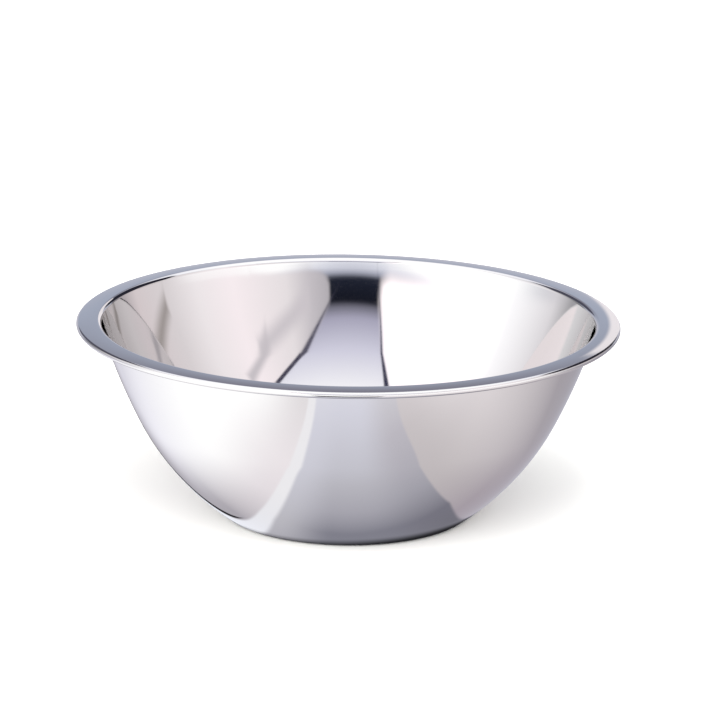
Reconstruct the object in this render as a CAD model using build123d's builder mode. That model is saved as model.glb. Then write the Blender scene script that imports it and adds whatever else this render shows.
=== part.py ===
from build123d import *
from math import radians, sin
import os

# A stainless steel mixing bowl, pressed and rolled from one disc of sheet.
# The frame: +Z up along the bowl's axis, with the origin at the centre of the foot's underside.

# Driving dimensions, in millimetres and degrees
rim_diameter = 300.0        # over the rolled bead, the widest part
bowl_height = 110.0         # from the table to the crest of the rim
foot_diameter = 134.8       # to the sharp corner that foot and wall would make without their bend
foot_bend_radius = 8.0      # outside of the bend between foot and wall
sheet = 0.8                 # wall thickness, the same everywhere

flange_width = 12.8         # from the bend at the top of the wall to the outside of the bead
flange_droop = 5.0          # how far the crowned flange has turned down where the bead begins
brim_bend_radius = 2.0      # inside of the bend between wall and flange
bead_diameter = 3.4         # outside of the hollow bead
bead_turn = 280.0           # how far round the edge of the sheet is rolled

# The wall is two tangent arcs. Its shape is given by how its slope differs from the straight line
# that joins the foot's corner to the brim's corner, so it bulges alike in a wide bowl and a deep one.
foot_lean = 22.3            # how much flatter than that line the wall leaves the foot
shoulder_lean = 6.8         # how much steeper it is where the lower arc meets the upper one
brim_lean = 15.4            # how much steeper it arrives at the brim

# The corners of the outer skin, in the plane of the section: first the radius, then the height
foot_corner = Vector(foot_diameter / 2, 0)
brim_corner = Vector(rim_diameter / 2 - flange_width, bowl_height - sheet)
slant = brim_corner - foot_corner

# The chords of the two arcs stand at these angles to the slant, and make a triangle with it
lower_angle = (foot_lean - shoulder_lean) / 2
upper_angle = (shoulder_lean + brim_lean) / 2
lower_share = sin(radians(upper_angle)) / sin(radians(lower_angle + upper_angle))
shoulder = foot_corner + slant.rotate(Axis.Z, -lower_angle) * lower_share
wall_start = slant.rotate(Axis.Z, -foot_lean)

# The bead's inside, and the crowned flange that runs into it without a corner
bead_bore_radius = bead_diameter / 2 - sheet
flange_reach = flange_width - bead_diameter / 2 + bead_bore_radius * sin(radians(flange_droop))
flange_crown_radius = flange_reach / sin(radians(flange_droop))

with BuildPart() as bowl:
    with BuildSketch(Plane.XZ) as section:
        with BuildLine() as outer_skin:
            Line((0, 0), foot_corner)
            lower_wall = TangentArc(foot_corner, shoulder, tangent=wall_start)
            TangentArc(shoulder, brim_corner, tangent=lower_wall % 1)
            flange = JernArc(brim_corner, (1, 0), flange_crown_radius, -flange_droop)
            fillet(outer_skin.vertices().sort_by_distance(foot_corner)[0], foot_bend_radius)
            fillet(outer_skin.vertices().sort_by_distance(brim_corner)[0], brim_bend_radius)
            offset(amount=sheet, side=Side.LEFT, closed=True)
        make_face()
        with BuildLine() as rolled_edge:
            bore = JernArc(flange @ 1, flange % 1, bead_bore_radius, -bead_turn)
            flange_top = flange @ 1 + (flange % 1).rotate(Axis.Z, 90) * sheet
            back = JernArc(flange_top, flange % 1, bead_diameter / 2, -bead_turn)
            Line(bore @ 0, back @ 0)
            Line(bore @ 1, back @ 1)
        make_face()
    revolve(axis=Axis.Z)

bowl.part.label = "bowl"

os.makedirs("parts", exist_ok=True)
export_step(bowl.part, "parts/bowl.step")
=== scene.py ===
from math import copysign, cos, pi, radians, sin

import bpy
from bpy.props import FloatProperty, FloatVectorProperty, IntProperty, PointerProperty
from mathutils import Matrix, Vector


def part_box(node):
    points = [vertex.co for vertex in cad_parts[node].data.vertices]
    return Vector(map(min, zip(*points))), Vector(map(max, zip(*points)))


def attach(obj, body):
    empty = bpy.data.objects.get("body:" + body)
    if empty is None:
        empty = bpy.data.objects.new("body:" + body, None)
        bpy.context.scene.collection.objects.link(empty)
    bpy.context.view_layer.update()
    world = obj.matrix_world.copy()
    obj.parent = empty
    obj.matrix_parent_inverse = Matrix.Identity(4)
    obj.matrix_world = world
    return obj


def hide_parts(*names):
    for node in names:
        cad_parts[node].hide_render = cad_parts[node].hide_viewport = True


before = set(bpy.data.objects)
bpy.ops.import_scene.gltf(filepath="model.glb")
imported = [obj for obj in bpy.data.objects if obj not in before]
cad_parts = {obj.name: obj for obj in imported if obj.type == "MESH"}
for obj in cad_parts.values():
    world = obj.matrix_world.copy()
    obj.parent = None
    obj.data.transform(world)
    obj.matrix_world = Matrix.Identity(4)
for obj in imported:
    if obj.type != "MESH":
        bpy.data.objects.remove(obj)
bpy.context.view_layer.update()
bowl_low, bowl_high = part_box("bowl")

bl_info = {
    "name": "Mixing bowl",
    "version": (1, 0, 0),
    "blender": (4, 5, 0),
    "location": "View3D > Sidebar > Mixing bowl",
    "description": "A mirror-polished steel mixing bowl, pressed from one disc and rolled at the rim",
    "category": "Add Mesh",
}

MM = 0.001


def linear(colour):
    """Turn an sRGB hex colour into linear red, green, blue and alpha."""
    levels = [int(colour[i:i + 2], 16) / 255 for i in (1, 3, 5)]
    channels = [v / 12.92 if v <= 0.04045 else ((v + 0.055) / 1.055) ** 2.4 for v in levels]
    return channels + [1.0]


class BowlSizes(bpy.types.PropertyGroup):
    """The bowl's section. A slope is the under skin's angle above the table."""

    rim_diameter: FloatProperty(
        name="Rim diameter",
        description="Over the rolled bead, the widest part",
        default=bowl_high.x - bowl_low.x,
        unit="LENGTH",
    )
    height: FloatProperty(
        name="Height",
        description="From the table to the crest of the rim",
        default=bowl_high.z - bowl_low.z,
        unit="LENGTH",
    )
    sheet: FloatProperty(
        name="Sheet",
        description="Thickness of the steel, the same everywhere",
        default=0.8 * MM,
        unit="LENGTH",
    )
    foot_bend: FloatProperty(
        name="Foot bend",
        description="Outside radius of the bend between the flat foot and the wall",
        default=8.0 * MM,
        unit="LENGTH",
    )
    lower_wall: FloatProperty(
        name="Lower wall",
        description="Outside radius of the wall's rounder lower part",
        default=153.7 * MM,
        unit="LENGTH",
    )
    brim_bend: FloatProperty(
        name="Brim bend",
        description="Inside radius of the bend between the wall and the flange",
        default=2.0 * MM,
        unit="LENGTH",
    )
    flange_crown: FloatProperty(
        name="Flange crown",
        description="Radius of the flange's slight crown",
        default=128.3 * MM,
        unit="LENGTH",
    )
    bead_bore: FloatProperty(
        name="Bead bore",
        description="Inside radius of the hollow bead",
        default=0.9 * MM,
        unit="LENGTH",
    )
    foot_slope: FloatProperty(
        name="Slope above the foot",
        description="Where the foot bend runs into the wall",
        default=radians(36.1),
        unit="ROTATION",
    )
    shoulder_slope: FloatProperty(
        name="Slope at the shoulder",
        description="Where the rounder lower wall runs into the flatter upper wall",
        default=radians(64.2),
        unit="ROTATION",
    )
    brim_slope: FloatProperty(
        name="Slope below the brim",
        description="Where the wall runs into the brim bend",
        default=radians(72.6),
        unit="ROTATION",
    )
    flange_slope: FloatProperty(
        name="Slope of the flange",
        description="Where the brim bend runs into the flange",
        default=radians(-0.7),
        unit="ROTATION",
    )
    bead_slope: FloatProperty(
        name="Slope at the bead",
        description="Where the flange has drooped to when the bead begins",
        default=radians(-5.0),
        unit="ROTATION",
    )
    bead_turn: FloatProperty(
        name="Bead turn",
        description="How far round the edge of the sheet is rolled",
        default=radians(280.0),
        unit="ROTATION",
    )
    steps_round: IntProperty(
        name="Steps round",
        description="Facets round the bowl",
        default=256,
        min=32,
    )


class SteelFinish(bpy.types.PropertyGroup):
    """How the steel looks."""

    bright: FloatVectorProperty(
        name="Bright steel",
        description="Colour of the polished steel",
        default=linear("#CFCFCF"),
        size=4,
        subtype="COLOR",
    )
    worn: FloatVectorProperty(
        name="Wiped steel",
        description="Colour where polish and wiping have left the surface a little duller",
        default=linear("#C9C8C8"),
        size=4,
        subtype="COLOR",
    )
    roughness: FloatProperty(
        name="Roughness",
        description="Roughness of the mirror polish",
        default=0.035,
        min=0.0,
        max=1.0,
    )
    mark_spacing: FloatProperty(
        name="Polishing mark spacing",
        description="Distance between the marks that polishing on a lathe leaves",
        default=1.2 * MM,
        unit="LENGTH",
    )
    mark_depth: FloatProperty(
        name="Polishing mark depth",
        description="Depth of those marks",
        default=0.0006 * MM,
        unit="LENGTH",
    )
    wave_length: FloatProperty(
        name="Wave length",
        description="Size of the shallow waves that pressing leaves in the sheet",
        default=45.0 * MM,
        unit="LENGTH",
    )
    wave_depth: FloatProperty(
        name="Wave depth",
        description="Depth of those waves",
        default=0.06 * MM,
        unit="LENGTH",
    )


class StudioSettings(bpy.types.PropertyGroup):
    """The floor, the light and the camera."""

    camera_aim: FloatVectorProperty(
        name="Camera aim",
        description="The point that the camera looks at",
        default=(1.6 * MM, 0.0, 91.1 * MM),
        subtype="TRANSLATION",
        unit="LENGTH",
    )
    camera_distance: FloatProperty(
        name="Camera distance",
        description="From the middle of the rim to the camera",
        default=2.4,
        unit="LENGTH",
    )
    camera_elevation: FloatProperty(
        name="Camera elevation",
        description="Angle of the view above the horizontal",
        default=radians(14.825),
        unit="ROTATION",
    )
    camera_roll: FloatProperty(
        name="Camera roll",
        description="How far the camera leans to its left",
        default=radians(0.742),
        unit="ROTATION",
    )
    focal_length: FloatProperty(
        name="Focal length",
        description="Focal length in millimetres on a sensor 36 mm wide",
        default=222.8,
    )
    light: FloatProperty(
        name="Light",
        description="Strength of the studio's light",
        default=1.7,
        min=0.0,
    )
    low_softbox: FloatProperty(
        name="Low softbox",
        description="Power of the wide, low softbox that lights the floor",
        default=80.0,
        unit="POWER",
    )
    high_softbox: FloatProperty(
        name="High softbox",
        description="Power of the small, high softbox that lights the floor",
        default=35.0,
        unit="POWER",
    )
    softbox_distance: FloatProperty(
        name="Softbox distance",
        description="From the middle of the foot to each softbox",
        default=3.0,
        unit="LENGTH",
    )
    floor_width: FloatProperty(
        name="Floor width",
        description="Side of the square floor",
        default=12.0,
        unit="LENGTH",
    )
    floor: FloatVectorProperty(
        name="Floor",
        description="Colour of the floor",
        default=linear("#F4F5F1"),
        size=4,
        subtype="COLOR",
    )


def add_node(tree, kind, inputs=None, stops=None, **settings):
    """Add a node: inputs are values or sockets by name or number, stops are a ramp's colours."""
    node = tree.nodes.new(kind)
    for name, value in settings.items():
        setattr(node, name, value)
    for key, value in (inputs or {}).items():
        if isinstance(value, bpy.types.NodeSocket):
            tree.links.new(value, node.inputs[key])
        else:
            node.inputs[key].default_value = value
    for number, (place, colour) in enumerate(sorted((stops or {}).items())):
        if number < 2:
            node.color_ramp.elements[number].position = place
        else:
            node.color_ramp.elements.new(place)
        node.color_ramp.elements[number].color = linear(colour)
    return node


# ---------------------------------------------------------------- the bowl


def select_where(piece, test):
    """In edit mode, select just the vertices whose place passes the test."""
    bpy.ops.mesh.select_mode(type="VERT")
    bpy.ops.mesh.select_all(action="DESELECT")
    bpy.ops.object.mode_set(mode="OBJECT")
    for vertex in piece.data.vertices:
        vertex.select = test(vertex.co)
    bpy.ops.object.mode_set(mode="EDIT")


def section_arcs(sizes):
    """The under skin's arcs from foot to bead: signed radius, slope at the end, steps.

    A positive radius bends the sheet up and a negative one bends it down. The upper wall's
    radius is the one that brings the crest of the rim to the bowl's height.
    """
    foot, shoulder = sizes.foot_slope, sizes.shoulder_slope
    brim, flange = sizes.brim_slope, sizes.flange_slope
    other_rises = (
        sizes.foot_bend * (1 - cos(foot))
        + sizes.lower_wall * (cos(foot) - cos(shoulder))
        + sizes.brim_bend * (1 - cos(brim))
    )
    upper_rise = sizes.height - sizes.sheet - other_rises
    upper_wall = upper_rise / (cos(shoulder) - cos(brim))
    return [
        (sizes.foot_bend, foot, 16),
        (sizes.lower_wall, shoulder, 28),
        (upper_wall, brim, 14),
        (-sizes.brim_bend, flange, 20),
        (-sizes.flange_crown, sizes.bead_slope, 5),
        (-sizes.bead_bore, sizes.bead_slope - sizes.bead_turn, 40),
    ]


def foot_radius(sizes, arcs):
    """Radius of the flat foot that brings the bead out to the rim's diameter."""
    run = 0.0
    slope = 0.0
    for radius, slope_after, _ in arcs[:-1]:
        run += radius * (sin(slope_after) - sin(slope))
        slope = slope_after
    bead_centre = run + sizes.bead_bore * sin(slope)
    return sizes.rim_diameter / 2 - (sizes.bead_bore + sizes.sheet) - bead_centre


def start_foot(flat):
    """An edge from the axis out along the table, in edit mode: half of the flat foot."""
    bpy.ops.object.select_all(action="DESELECT")
    bpy.ops.mesh.primitive_plane_add(size=flat, location=(flat / 2, flat / 2, 0))
    bpy.ops.object.transform_apply(location=True)
    bowl = bpy.context.object
    bowl.name = bowl.data.name = "mixing_bowl"
    bpy.ops.object.mode_set(mode="EDIT")
    select_where(bowl, lambda place: place.y > flat / 2)
    bpy.ops.mesh.delete(type="VERT")

    # A ring just inside the foot bend keeps the foot flat up to the bend.
    ring = 1.0 * MM
    select_where(bowl, lambda place: place.x > flat / 2)
    bpy.ops.transform.translate(value=(-ring, 0, 0))
    bpy.ops.mesh.select_all(action="SELECT")
    bpy.ops.mesh.subdivide(number_cuts=5)
    select_where(bowl, lambda place: place.x > flat - 1.5 * ring)
    bpy.ops.mesh.extrude_region_move(TRANSFORM_OT_translate={"value": (ring, 0, 0)})
    return bowl


def spin_under_skin(flat, arcs, steps_round):
    """Draw the section's arcs from the foot's loose end, and spin it round the axis."""
    end = Vector((flat, 0, 0))
    slope = 0.0
    for radius, slope_after, steps in arcs:
        centre = end + radius * Vector((-sin(slope), 0, cos(slope)))
        bpy.ops.mesh.spin(
            steps=steps,
            angle=abs(slope_after - slope),
            center=centre,
            axis=(0, copysign(1, radius), 0),
        )
        end = centre + radius * Vector((sin(slope_after), 0, -cos(slope_after)))
        slope = slope_after

    bpy.ops.mesh.select_all(action="SELECT")
    bpy.ops.mesh.spin(steps=steps_round, angle=2 * pi, center=(0, 0, 0), axis=(0, 0, 1))
    bpy.ops.mesh.select_all(action="SELECT")
    bpy.ops.mesh.remove_doubles(threshold=0.005 * MM)
    # The outermost faces are in the bead, where the under skin looks inwards at the bore, so
    # it is the recalculation to the inside that leaves the under skin looking outwards.
    bpy.ops.mesh.normals_make_consistent(inside=True)
    bpy.ops.object.mode_set(mode="OBJECT")


def thicken(bowl, sheet):
    """Give the skin the sheet's thickness, and smooth its shading."""
    wall = bowl.modifiers.new("Sheet", "SOLIDIFY")
    wall.thickness = sheet
    wall.offset = -1
    wall.use_quality_normals = True
    bpy.ops.object.modifier_apply(modifier=wall.name)

    # Only the cut edge inside the bead is sharp; large faces decide the shading.
    bpy.ops.object.shade_smooth_by_angle(angle=radians(40))
    shading = bowl.modifiers.new("Shading", "WEIGHTED_NORMAL")
    shading.keep_sharp = True
    bpy.ops.object.modifier_apply(modifier=shading.name)


class OBJECT_OT_mixing_bowl(bpy.types.Operator):
    """Spin the bowl's section, give it the sheet's thickness and polish it"""

    bl_idname = "object.mixing_bowl"
    bl_label = "Mixing bowl"
    bl_options = {"REGISTER", "UNDO"}

    def execute(self, context):
        sizes = context.scene.bowl_sizes
        arcs = section_arcs(sizes)
        flat = foot_radius(sizes, arcs)
        if flat <= 0:
            raise ValueError("The rim is too small for this height: no flat foot is left.")

        bowl = start_foot(flat)
        spin_under_skin(flat, arcs, sizes.steps_round)
        thicken(bowl, sizes.sheet)
        bowl.data.materials.append(polished_stainless(context.scene.steel_finish, sizes))
        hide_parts("bowl")
        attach(bowl, "root")
        return {"FINISHED"}


def polished_stainless(finish, sizes):
    """Stainless steel sheet, pressed, then polished to a mirror on a lathe.

    The polish gives clean, slightly soft reflections. Pressing leaves shallow waves that make
    straight reflections wander, and polishing leaves faint marks that run round the bowl.
    """
    steel = bpy.data.materials.new("mirror_polished_stainless_steel")
    steel.use_nodes = True
    tree = steel.node_tree
    tree.nodes.clear()

    place = add_node(tree, "ShaderNodeTexCoord").outputs["Object"]
    axes = add_node(tree, "ShaderNodeSeparateXYZ", {0: place}).outputs
    flat_place = add_node(tree, "ShaderNodeCombineXYZ", {0: axes["X"], 1: axes["Y"]})
    radius = add_node(
        tree, "ShaderNodeVectorMath", {0: flat_place.outputs[0]}, operation="LENGTH"
    ).outputs["Value"]
    round_bowl = add_node(tree, "ShaderNodeMath", {0: axes["Y"], 1: axes["X"]}, operation="ARCTAN2")

    # Polishing marks: real ones are some 0.1 mm apart, too fine to show, so they are drawn at
    # the spacing given. Each is narrow across and runs a third of a radian round the bowl.
    marks_in_a_radian = 3
    sweep = marks_in_a_radian * finish.mark_spacing
    along = add_node(tree, "ShaderNodeMath", {0: round_bowl.outputs[0], 1: sweep}, operation="MULTIPLY")
    section = add_node(
        tree, "ShaderNodeCombineXYZ", {0: radius, 1: axes["Z"], 2: along.outputs[0]}
    ).outputs[0]
    marks = add_node(
        tree,
        "ShaderNodeTexNoise",
        {"Vector": section, "Scale": 1 / finish.mark_spacing, "Detail": 2.0},
    ).outputs["Fac"]
    waves = add_node(
        tree,
        "ShaderNodeTexNoise",
        {"Vector": place, "Scale": 1 / finish.wave_length, "Detail": 0.0},
    ).outputs["Fac"]
    wiped = add_node(
        tree,
        "ShaderNodeTexNoise",
        {"Vector": place, "Scale": 1 / (3 * finish.wave_length), "Detail": 4.0},
    ).outputs["Fac"]

    colour = add_node(
        tree,
        "ShaderNodeMix",
        {0: wiped, 6: finish.bright, 7: finish.worn},
        data_type="RGBA",
    ).outputs[2]

    # The bead is rubbed by hands and stacking, so it is duller than the wall.
    bead_start = sizes.rim_diameter / 2 - 2 * (sizes.bead_bore + sizes.sheet)
    rubbed = add_node(
        tree,
        "ShaderNodeMapRange",
        {0: radius, 1: bead_start, 2: sizes.rim_diameter / 2, 3: 0.0, 4: 0.05},
    ).outputs[0]
    grain = add_node(
        tree,
        "ShaderNodeMapRange",
        {0: marks, 1: 0.3, 2: 0.7, 3: 0.8 * finish.roughness, 4: 1.2 * finish.roughness},
    ).outputs[0]
    smudge = add_node(
        tree, "ShaderNodeMapRange", {0: wiped, 1: 0.35, 2: 0.7, 3: 0.0, 4: 0.012}
    ).outputs[0]
    rough = add_node(tree, "ShaderNodeMath", {0: grain, 1: smudge}, operation="ADD").outputs[0]
    rough = add_node(tree, "ShaderNodeMath", {0: rough, 1: rubbed}, operation="ADD").outputs[0]

    wavy = add_node(
        tree,
        "ShaderNodeBump",
        {"Height": waves, "Distance": finish.wave_depth, "Strength": 1.0},
    ).outputs[0]
    marked = add_node(
        tree,
        "ShaderNodeBump",
        {"Height": marks, "Distance": finish.mark_depth, "Strength": 1.0, "Normal": wavy},
    ).outputs[0]
    surface = add_node(
        tree,
        "ShaderNodeBsdfPrincipled",
        {"Base Color": colour, "Metallic": 1.0, "Roughness": rough, "Normal": marked},
    )
    add_node(tree, "ShaderNodeOutputMaterial", {"Surface": surface.outputs[0]})
    return steel


# -------------------------------------------------------------- the studio


def toward(azimuth, elevation):
    """A direction: azimuth round from the camera's side to the right, and elevation, in degrees."""
    a, e = radians(azimuth), radians(elevation)
    return Vector((sin(a) * cos(e), -cos(a) * cos(e), sin(e)))


def depth_inside(tree, sight, corners, rounding):
    """How deep a line of sight falls inside a panel with these corners, in radians."""
    middle = sum(corners, Vector())
    depth = None
    for corner, following in zip(corners, corners[1:] + corners[:1]):
        edge = corner.cross(following).normalized()
        edge *= copysign(1, edge.dot(middle))
        from_edge = add_node(
            tree, "ShaderNodeVectorMath", {0: sight, 1: edge}, operation="DOT_PRODUCT"
        ).outputs["Value"]
        if depth is None:
            depth = from_edge
        else:
            depth = add_node(
                tree,
                "ShaderNodeMath",
                {0: depth, 1: from_edge, 2: rounding},
                operation="SMOOTH_MIN",
            ).outputs[0]
    return depth


def lay_over(tree, under, over, field, start, end):
    """Cover one colour with another, softly, as a field goes from start to end."""
    cover = add_node(
        tree,
        "ShaderNodeMapRange",
        {0: field, 1: start, 2: end},
        interpolation_type="SMOOTHSTEP",
    ).outputs[0]
    return add_node(
        tree, "ShaderNodeMix", {0: cover, 6: under, 7: over}, data_type="RGBA"
    ).outputs[2]


def add_ramp(tree, field, colours, low, high):
    """A colour for each value of a field between low and high."""
    along = add_node(tree, "ShaderNodeMapRange", {0: field, 1: low, 2: high}).outputs[0]
    places = {(value - low) / (high - low): colour for value, colour in colours.items()}
    return add_node(tree, "ShaderNodeValToRGB", {0: along}, stops=places).outputs[0]


def paint_overhead(tree, sight):
    """A lavender ceiling with a dark gap above the camera, a duller back wall and two panels.

    Heights are elevations in degrees. Along a panel, places are degrees round from the
    camera, the same on both sides.
    """
    axes = add_node(tree, "ShaderNodeSeparateXYZ", {0: sight}).outputs
    front = add_node(tree, "ShaderNodeMath", {0: axes["Y"], 1: -1.0}, operation="MULTIPLY").outputs[0]
    azimuth = add_node(tree, "ShaderNodeMath", {0: axes["X"], 1: front}, operation="ARCTAN2").outputs[0]
    swing = add_node(tree, "ShaderNodeMath", {0: azimuth}, operation="ABSOLUTE").outputs[0]
    swing = add_node(tree, "ShaderNodeMath", {0: swing}, operation="DEGREES").outputs[0]
    height = add_node(tree, "ShaderNodeMath", {0: axes["Z"]}, operation="ARCSINE").outputs[0]
    height = add_node(tree, "ShaderNodeMath", {0: height}, operation="DEGREES").outputs[0]

    ceiling = {
        20.5: "#FFFFFF", 21.5: "#D2D4E0", 22.6: "#9B9EAD", 23.4: "#1C202E", 27.6: "#12141E",
        28.5: "#6A6976", 30.5: "#A4A2B6", 36: "#CECDDD", 60: "#FFFFFF",
    }
    back_wall = {
        0: "#B4B2BA", 14: "#949AAA", 25: "#74737F", 29: "#A6A6B4", 42: "#E7E7EF", 60: "#FFFFFF",
    }
    sky = lay_over(
        tree,
        add_ramp(tree, height, ceiling, 0, 90),
        add_ramp(tree, height, back_wall, 0, 90),
        axes["Y"], -0.1, 0.4,
    )

    # Both panels are brightest in front of their middles. The left one is far the brighter.
    cool = {84: "#FFF6F8", 89: "#E7E6E8", 115: "#C6C3C6", 131: "#818083", 146: "#3C3C42"}
    cool_panel = add_ramp(tree, swing, cool, 0, 180)
    cool_panel = add_node(
        tree, "ShaderNodeVectorMath", {0: cool_panel, "Scale": 1.2}, operation="SCALE"
    ).outputs[0]
    warm = {
        10: "#B0ACB1", 20: "#C2BDC2", 32: "#E2DCDE", 60: "#F3E9EC",
        80: "#E8E2E4", 98: "#D3CDCF", 120: "#CDC3C5", 145: "#5E5C64",
    }
    warm_panel = add_ramp(tree, swing, warm, 0, 180)

    left = [toward(-20, 21.3), toward(-15.5, 23), toward(-15, 27), toward(-30, 49)]
    left += [toward(-90, 66), toward(-128, 40), toward(-145, 10), toward(-145, 0)]
    left += [toward(-125.6, 0), toward(-90, 11.2), toward(-60, 16.8)]
    right = [toward(11, 23.2), toward(145, 22), toward(145, 0), toward(125.6, 0)]
    right += [toward(90, 11), toward(60, 17), toward(20, 21.2)]
    # The right panel is folded, so its front part stands above the line of the rest.
    right_front = [toward(14, 22), toward(10, 24), toward(10, 27.5), toward(15, 30.8)]
    right_front += [toward(30, 36), toward(45, 38.5), toward(50, 19)]
    for corners, panel, inside in (
        (left, cool_panel, 0.05),
        (right, warm_panel, 0.015),
        (right_front, warm_panel, 0.015),
    ):
        depth = depth_inside(tree, sight, corners, 0.02)
        sky = lay_over(tree, sky, panel, depth, -0.015, inside)
    return paint_gaps(tree, sight, sky)


def paint_gaps(tree, sight, sky):
    """The dark edges, folds and gaps round the panels, and a pale card right behind the bowl."""
    left_edge = [toward(-17, 29), toward(-31.5, 49.5), toward(-28.5, 50)]
    right_edge = [toward(12, 28.6), toward(30, 35.6), toward(30, 37.2)]
    right_edge_rear = [toward(30, 35.6), toward(54, 44), toward(54, 45.4), toward(30, 37.2)]
    fold = [toward(22, 25.6), toward(52, 30), toward(52, 31.4), toward(22, 27.6)]
    fold_rear = [toward(48, 29.6), toward(66, 36), toward(66, 39), toward(48, 31.4)]
    seam = [toward(101, 11), toward(101, 12), toward(118, 12.2), toward(118, 10.8)]
    left_gap = [toward(-118, 26), toward(-150, 8), toward(-166, 12), toward(-166, 34)]
    left_gap += [toward(-130, 48)]
    right_gap = [toward(100, 24), toward(125, 13), toward(150, 8), toward(166, 12)]
    right_gap += [toward(166, 32), toward(130, 48), toward(104, 40)]
    card = [toward(174.8, 0), toward(174.8, 18), toward(168, 24), toward(160, 24), toward(160, 0)]
    for corners, colour, rounding, outside, inside in (
        (left_edge, "#34344A", 0.002, -0.012, 0.005),
        (right_edge, "#4C4A5A", 0.002, -0.01, 0.004),
        (right_edge_rear, "#3C3A4C", 0.002, -0.01, 0.004),
        (fold, "#C9C3C8", 0.002, -0.045, 0.018),
        (fold_rear, "#C4BEC3", 0.002, -0.045, 0.018),
        (seam, "#98918F", 0.002, -0.035, 0.014),
        (left_gap, "#484854", 0.03, 0.0, 0.06),
        (right_gap, "#24242E", 0.03, 0.0, 0.06),
        (card, "#D8D3D6", 0.003, -0.008, 0.006),
    ):
        depth = depth_inside(tree, sight, corners, rounding)
        sky = lay_over(tree, sky, linear(colour), depth, outside, inside)
    return sky


def paint_below(tree, sight):
    """Straight strips of table and cloth that run from front to back under the bowl.

    Side is how far right of straight down, reach how far towards the camera, both as
    tangents.
    """
    axes = add_node(tree, "ShaderNodeSeparateXYZ", {0: sight}).outputs
    side = add_node(tree, "ShaderNodeMath", {0: axes["X"], 1: axes["Z"]}, operation="DIVIDE").outputs[0]
    reach = add_node(tree, "ShaderNodeMath", {0: axes["Y"], 1: axes["Z"]}, operation="DIVIDE").outputs[0]
    # The strips draw together in front of the bowl and behind it. The minus signs turn side
    # over, because z is negative below.
    pinch = add_node(
        tree,
        "ShaderNodeMapRange",
        {0: reach, 1: 0.2, 2: 0.7, 3: -1.0, 4: -1.25},
        interpolation_type="SMOOTHSTEP",
    ).outputs[0]
    side = add_node(tree, "ShaderNodeMath", {0: side, 1: pinch}, operation="MULTIPLY").outputs[0]
    narrow = add_node(
        tree, "ShaderNodeMapRange", {0: reach, 1: -0.5, 2: -3.75, 3: 1.0, 4: 0.45}
    ).outputs[0]
    from_middle, from_left, from_right = [
        add_node(
            tree, "ShaderNodeMath", {0: narrow, 1: spread, 2: side}, operation="MULTIPLY_ADD"
        ).outputs[0]
        for spread in (0.31, 0.18, -0.71)
    ]

    middle, middle_left, middle_right, streak, left, far_left, right, far_right = [
        add_ramp(tree, reach, colours, -5, 3)
        for colours in (
            {3: "#FFFFFF", 1.4: "#F4F4F8", 0.7: "#D1D1DC", 0.2: "#B4B3BB", -0.1: "#A3A2AB",
             -0.45: "#7B7B86", -2: "#84848C"},
            {3: "#FFFFFF", 1.4: "#F4F4F8", 0.6: "#CFCFDA", -0.4: "#B5B4BB", -1.3: "#9C9BA3"},
            {3: "#FFFFFF", 1.4: "#F4F4F8", 0.5: "#B9B6BE", 0: "#9F9EA7", -0.5: "#72717C",
             -1.2: "#686770"},
            {0: "#E8E7EA", -0.8: "#DCDDE3", -3.5: "#B4B8C2"},
            {1.4: "#FFFFFF", 0.7: "#DDD9DB", 0.3: "#E7E1E4", -0.1: "#DFD9DD", -1: "#9E9AA1",
             -2: "#949198"},
            {-0.2: "#FFFFFF", -1.3: "#E2E1E8", -2: "#C6C5CE", -4: "#9C9BA6"},
            {1.4: "#EEE8EB", 0.5: "#C5BFC1", 0: "#BAB4B6", -0.8: "#9D959D", -2.6: "#9A99A2"},
            {1.4: "#EEE8EB", 0.1: "#D7D1D3", -1.3: "#9C979D", -3: "#8C8B94"},
        )
    ]
    below = lay_over(tree, middle, middle_left, side, -0.05, -0.3)
    below = lay_over(tree, below, middle_right, side, 0.1, 0.4)
    left = lay_over(tree, left, far_left, side, -0.4, -0.95)
    right = lay_over(tree, right, far_right, side, 0.48, 1.1)
    below = lay_over(tree, below, streak, from_middle, 0.015, -0.015)
    below = lay_over(tree, below, left, from_left, -0.195, -0.215)
    below = lay_over(tree, below, right, from_right, -0.24, -0.22)

    # A dark wedge at the left strip's rear end, and the dark front edge of the table.
    wedge = [Vector((-0.385, 0.9, -1)), Vector((-0.45, 3.8, -1)), Vector((-0.22, 3.8, -1))]
    depth = depth_inside(tree, sight, wedge, 0.002)
    below = lay_over(tree, below, linear("#1C1C1E"), depth, 0, 0.006)
    slot = [toward(-16, -17), toward(16, -17), toward(16, -50.5), toward(-16, -50.5)]
    depth = depth_inside(tree, sight, slot, 0.03)
    return lay_over(tree, below, linear("#1C1C24"), depth, 0, 0.03)


def paint_studio(tree, sight):
    """The soft studio that the steel mirrors, as a colour for each line of sight.

    Colours are as bright as they look on the steel, so the light's strength makes up for
    what the steel takes away.
    """
    rise = add_node(tree, "ShaderNodeSeparateXYZ", {0: sight}).outputs["Z"]
    return lay_over(
        tree, paint_below(tree, sight), paint_overhead(tree, sight), rise, -0.1, 0.0
    )


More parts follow.
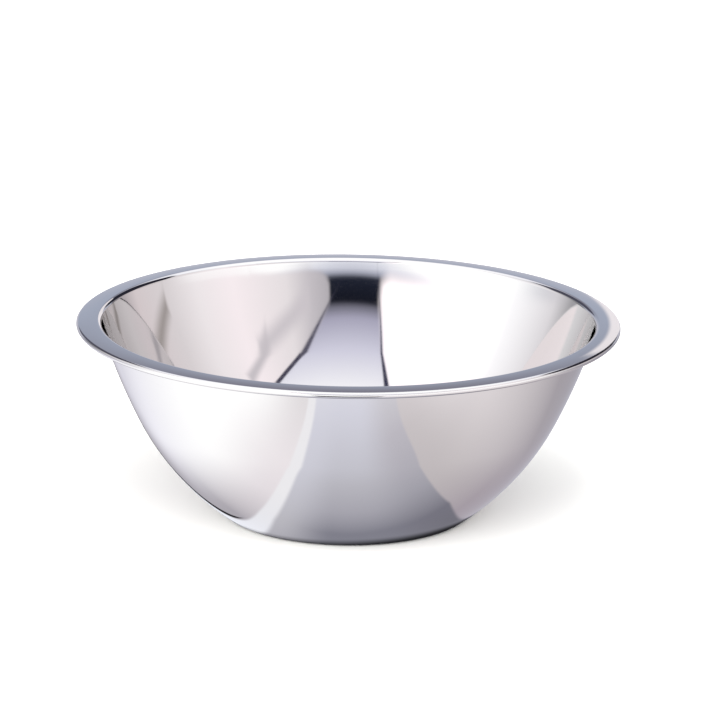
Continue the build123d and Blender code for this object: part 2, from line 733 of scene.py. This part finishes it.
class OBJECT_OT_bowl_studio(bpy.types.Operator):
    """Make the pale floor, the soft studio light and the camera"""

    bl_idname = "object.bowl_studio"
    bl_label = "Studio"
    bl_options = {"REGISTER", "UNDO"}

    def execute(self, context):
        scene = context.scene
        studio = scene.studio_settings
        scene.view_settings.view_transform = "Standard"
        self.make_floor(context, studio)
        self.make_contact_shade(context, scene.bowl_sizes)
        self.make_light(context, studio)
        self.make_camera(context, studio)
        return {"FINISHED"}

    def make_floor(self, context, studio):
        """A plain floor. The steel mirrors the studio below it instead."""
        bpy.ops.object.select_all(action="DESELECT")
        bpy.ops.mesh.primitive_plane_add(size=studio.floor_width)
        floor = context.object
        floor.name = floor.data.name = "floor"
        floor.visible_glossy = False
        pale = bpy.data.materials.new("matt_pale_floor")
        pale.use_nodes = True
        matt = pale.node_tree.nodes["Principled BSDF"]
        matt.inputs["Base Color"].default_value = studio.floor
        matt.inputs["Roughness"].default_value = 0.9
        matt.inputs["Specular IOR Level"].default_value = 0.0
        floor.data.materials.append(pale)

    def make_contact_shade(self, context, sizes):
        """Painted shade: a dark disc that stands for the floor's shadow where it meets the foot, seen
        only by the steel just above it, which mirrors it.
        """
        foot = foot_radius(sizes, section_arcs(sizes))
        bend = sizes.foot_bend
        # It lies just under the foot and falls a little to the right, away from the brighter panel.
        middle = Vector((2.5 * MM, 0, -0.1 * MM))
        bpy.ops.object.select_all(action="DESELECT")
        bpy.ops.mesh.primitive_circle_add(
            vertices=96, radius=foot + 2 * bend, fill_type="NGON", location=middle
        )
        bpy.ops.object.transform_apply(location=True)
        shade = context.object
        shade.name = shade.data.name = "contact_shade"
        shade.visible_camera = False
        shade.visible_diffuse = False
        shade.visible_shadow = False
        dark = bpy.data.materials.new("painted_floor_shadow")
        dark.use_nodes = True
        tree = dark.node_tree
        tree.nodes.clear()
        place = add_node(tree, "ShaderNodeTexCoord").outputs["Object"]
        radius = add_node(
            tree, "ShaderNodeVectorMath", {0: place, 1: middle}, operation="DISTANCE"
        ).outputs["Value"]
        darkest_to, clear_from = foot + 0.3 * bend, foot + bend
        clear = add_node(
            tree,
            "ShaderNodeMapRange",
            {0: radius, 1: darkest_to, 2: clear_from},
            interpolation_type="SMOOTHSTEP",
        ).outputs[0]
        # Painted shadow: a dark glow, clear further from the foot, that stands for the shade on the
        # floor round the foot.
        black = add_node(tree, "ShaderNodeEmission", {"Color": linear("#2C2C30")}).outputs[0]
        through = add_node(tree, "ShaderNodeBsdfTransparent").outputs[0]
        mixed = add_node(
            tree, "ShaderNodeMixShader", {0: clear, 1: black, 2: through}
        ).outputs[0]
        add_node(tree, "ShaderNodeOutputMaterial", {"Surface": mixed})
        shade.data.materials.append(dark)

    def make_light(self, context, studio):
        """The studio is the world: plain white to the camera, soft panels to the steel."""
        world = bpy.data.worlds.new("soft_studio")
        world.use_nodes = True
        context.scene.world = world
        tree = world.node_tree
        tree.nodes.clear()
        sight = add_node(tree, "ShaderNodeTexCoord").outputs["Generated"]
        painted = paint_studio(tree, sight)
        seen = add_node(tree, "ShaderNodeLightPath").outputs["Is Camera Ray"]
        colour = add_node(
            tree, "ShaderNodeMix", {0: seen, 6: painted, 7: linear("#FFFFFF")}, data_type="RGBA"
        ).outputs[2]
        light = add_node(
            tree, "ShaderNodeBackground", {"Color": colour, "Strength": studio.light}
        )
        add_node(tree, "ShaderNodeOutputWorld", {"Surface": light.outputs[0]})

        # Two softboxes in front light the floor, one wide and low, one small and high. The
        # steel doesn't mirror them.
        for name, height, width, depth, power in (
            ("low_softbox", 28, 4.0, 1.6, studio.low_softbox),
            ("high_softbox", 60, 1.2, 1.2, studio.high_softbox),
        ):
            place = studio.softbox_distance * toward(0, height)
            bpy.ops.object.light_add(type="AREA", location=place)
            softbox = context.object
            softbox.name = softbox.data.name = name
            softbox.rotation_euler = (-place).to_track_quat("-Z", "Y").to_euler()
            softbox.data.shape = "RECTANGLE"
            softbox.data.size = width
            softbox.data.size_y = depth
            softbox.data.energy = power
            softbox.visible_glossy = False

    def make_camera(self, context, studio):
        """A long lens, so that the bowl looks flat-on, aimed a little right of its middle."""
        rim_middle = Vector((0, 0, 110 * MM))
        back = Vector((0, -cos(studio.camera_elevation), sin(studio.camera_elevation)))
        place = rim_middle + studio.camera_distance * back
        bpy.ops.object.camera_add(location=place)
        camera = context.object
        camera.name = camera.data.name = "camera"
        facing = (studio.camera_aim - place).to_track_quat("-Z", "Y").to_matrix().to_4x4()
        roll = Matrix.Rotation(studio.camera_roll, 4, "Z")
        camera.matrix_world = Matrix.Translation(place) @ facing @ roll
        camera.data.sensor_width = 36
        camera.data.lens = studio.focal_length
        camera.data.clip_end = 100
        camera.data.dof.use_dof = False
        context.scene.camera = camera


class VIEW3D_PT_mixing_bowl(bpy.types.Panel):
    """Sizes, finish and studio of the mixing bowl"""

    bl_label = "Mixing bowl"
    bl_space_type = "VIEW_3D"
    bl_region_type = "UI"
    bl_category = "Mixing bowl"

    def draw(self, context):
        groups = [
            (context.scene.bowl_sizes, OBJECT_OT_mixing_bowl),
            (context.scene.steel_finish, None),
            (context.scene.studio_settings, OBJECT_OT_bowl_studio),
        ]
        for group, operator in groups:
            box = self.layout.box()
            for name in group.__annotations__:
                box.prop(group, name)
            if operator:
                box.operator(operator.bl_idname)


CLASSES = [
    BowlSizes,
    SteelFinish,
    StudioSettings,
    OBJECT_OT_mixing_bowl,
    OBJECT_OT_bowl_studio,
    VIEW3D_PT_mixing_bowl,
]


def register():
    for cls in CLASSES:
        bpy.utils.register_class(cls)
    bpy.types.Scene.bowl_sizes = PointerProperty(type=BowlSizes)
    bpy.types.Scene.steel_finish = PointerProperty(type=SteelFinish)
    bpy.types.Scene.studio_settings = PointerProperty(type=StudioSettings)


def unregister():
    del bpy.types.Scene.studio_settings
    del bpy.types.Scene.steel_finish
    del bpy.types.Scene.bowl_sizes
    for cls in reversed(CLASSES):
        bpy.utils.unregister_class(cls)


def main():
    """Build the bowl and its studio."""
    register()
    bpy.ops.object.mixing_bowl()
    bpy.ops.object.bowl_studio()


if __name__ == "__main__":
    main()
